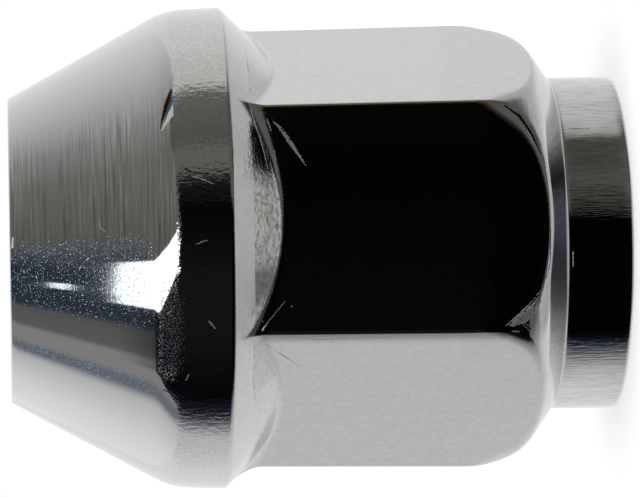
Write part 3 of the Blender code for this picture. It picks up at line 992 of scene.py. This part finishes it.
def tent_cloth():
    """White cloth with dark flags, by direction. Only mirrored rays see it.

    A ramp holds values up to 1, so the seam's angles go through theirs as shares of 90 degrees.
    """
    cloth = Nodes("tent_cloth_and_flags")
    cloth.tree.nodes.remove(cloth.shader)
    coordinates = cloth.add("ShaderNodeTexCoord").outputs["Object"]
    split = cloth.add("ShaderNodeSeparateXYZ", {"Vector": cloth.vector("NORMALIZE", coordinates)})
    turn = cloth.math("ARCTAN2", split.outputs["Y"], split.outputs["X"])
    turn = cloth.math("MULTIPLY_ADD", turn, 1 / math.tau, 0.5)
    tilt = cloth.math("DEGREES", cloth.math("ARCSINE", split.outputs["Z"]))
    seam_shares = [(angle, height_angle / 90) for angle, height_angle in SEAM]
    seam = cloth.product(light_ramp(cloth, turn, seam_shares), 90)
    over_seam = cloth.math("SUBTRACT", tilt, seam)
    fields = [(SEAT_LIGHT, cloth.fade(over_seam, -SEAM_SOFTNESS, SEAM_SOFTNESS))]
    fields += [(light, cloth.fade(tilt, start, end)) for light, start, end in LOWER_LIGHTS]
    whole = light_ramp(cloth, turn, SIDE_LIGHT)
    for light, mask in fields:
        inputs = {0: mask, 6: whole, 7: light_ramp(cloth, turn, light)}
        whole = cloth.add("ShaderNodeMix", inputs, data_type="RGBA").outputs[2]
    glow = cloth.add("ShaderNodeEmission", {"Color": whole, "Strength": 1.0})
    cloth.tree.links.new(glow.outputs[0], cloth.tree.nodes["Material Output"].inputs["Surface"])
    return cloth.material


def show_to_mirrors_only(card):
    card.visible_camera = False
    card.visible_diffuse = False
    card.visible_shadow = False
    card.visible_transmission = False
    card.visible_volume_scatter = False


def pitch_tent(studio):
    """The light tent: a sphere round the nut, turned so that its own X faces the camera's side."""
    deselect_all()
    bpy.ops.mesh.primitive_uv_sphere_add(
        segments=96, ring_count=48, radius=studio.tent_radius, location=(0, 0, studio.aim_height)
    )
    tent = bpy.context.active_object
    tent.name = "light_tent"
    tent.rotation_euler.z = studio.camera_turn - math.pi / 2
    tent.data.materials.append(tent_cloth())
    show_to_mirrors_only(tent)


def hang_softbox(studio, name, corners):
    """A bright shaped panel over the camera, which the seat mirrors as its highlight."""
    deselect_all()
    bpy.ops.mesh.primitive_circle_add(vertices=len(corners), radius=1, fill_type="NGON")
    panel = bpy.context.active_object
    panel.name = name
    aim = Vector((0, 0, studio.aim_height))
    for corner, (turn, tilt) in zip(panel.data.vertices, corners):
        direction = facing(studio.camera_turn + math.radians(turn), math.radians(tilt))
        corner.co = aim + direction * studio.panel_distance
    glow = Nodes(name + "_glow")
    light = {"Emission Color": (1, 1, 0.96, 1), "Emission Strength": studio.panel_glow}
    glow.feed(glow.shader, {"Base Color": (0, 0, 0, 1), **light})
    panel.data.materials.append(glow.material)
    show_to_mirrors_only(panel)


def lay_floor(studio):
    deselect_all()
    bpy.ops.mesh.primitive_circle_add(vertices=96, radius=studio.floor_radius, fill_type="NGON")
    floor = bpy.context.active_object
    floor.name = "floor"
    paint = Nodes("floor_paint")
    tone = (studio.floor_paint, studio.floor_paint, studio.floor_paint, 1)
    paint.feed(paint.shader, {"Base Color": tone, "Roughness": 0.9, "Specular IOR Level": 0})
    seen = paint.add("ShaderNodeLightPath").outputs["Is Camera Ray"]
    lift = paint.product(seen, studio.floor_lift)
    paint.feed(paint.shader, {"Emission Color": (1, 1, 1, 1), "Emission Strength": lift})
    floor.data.materials.append(paint.material)
    floor.visible_glossy = False


def hang_lamp(studio, name, side):
    """A large soft lamp that faces the nut from side -1 or 1. The nut mirrors the tent and not the lamp."""
    data = bpy.data.lights.new(name, "AREA")
    data.shape = "DISK"
    data.size = studio.lamp_size
    data.energy = studio.lamp_power
    lamp = bpy.data.objects.new(name, data)
    bpy.context.scene.collection.objects.link(lamp)
    direction = facing(side * studio.lamp_turn, studio.lamp_tilt)
    lamp.location = direction * studio.lamp_distance
    lamp.rotation_euler = direction.to_track_quat("Z", "Y").to_euler()
    lamp.visible_glossy = False


def paint_world():
    world = bpy.data.worlds.new("studio")
    world.use_nodes = True
    world.node_tree.nodes["Background"].inputs["Color"].default_value = (1, 1, 1, 1)
    world.node_tree.nodes["Background"].inputs["Strength"].default_value = 1.0
    bpy.context.scene.world = world


class LUGNUT_OT_stage(bpy.types.Operator):
    """Set the floor, the light tent, the lamps and the camera"""

    bl_idname = "lugnut.stage"
    bl_label = "Stage"

    def execute(self, context):
        studio = context.scene.lugnut_studio
        lay_floor(studio)
        pitch_tent(studio)
        for name, corners in PANELS.items():
            hang_softbox(studio, name, corners)
        hang_lamp(studio, "left_lamp", -1)
        hang_lamp(studio, "right_lamp", 1)
        paint_world()
        set_camera(studio)
        context.scene.view_settings.view_transform = "Standard"
        return {"FINISHED"}


class LUGNUT_PT_panel(bpy.types.Panel):
    """Lists the steps and the sizes of the lug nut"""

    bl_idname = "LUGNUT_PT_panel"
    bl_label = "Lug Nut"
    bl_space_type = "VIEW_3D"
    bl_region_type = "UI"
    bl_category = "Lug Nut"

    def draw(self, context):
        for operator in OPERATORS:
            self.layout.operator(operator.bl_idname)
        for name, group in SETTINGS.items():
            box = self.layout.box()
            for setting in group.__annotations__:
                box.prop(getattr(context.scene, name), setting)


SETTINGS = {
    "lugnut_body": LUGNUT_PG_body,
    "lugnut_bore": LUGNUT_PG_bore,
    "lugnut_plating": LUGNUT_PG_plating,
    "lugnut_studio": LUGNUT_PG_studio,
}
OPERATORS = (LUGNUT_OT_nut, LUGNUT_OT_stage)


def register():
    for group in SETTINGS.values():
        bpy.utils.register_class(group)
    for name, group in SETTINGS.items():
        setattr(bpy.types.Scene, name, PointerProperty(type=group))
    for operator in OPERATORS:
        bpy.utils.register_class(operator)
    bpy.utils.register_class(LUGNUT_PT_panel)


def unregister():
    bpy.utils.unregister_class(LUGNUT_PT_panel)
    for operator in reversed(OPERATORS):
        bpy.utils.unregister_class(operator)
    for name, group in SETTINGS.items():
        delattr(bpy.types.Scene, name)
        bpy.utils.unregister_class(group)


def main():
    register()
    bpy.ops.lugnut.nut()
    bpy.ops.lugnut.stage()


if __name__ == "__main__":
    main()
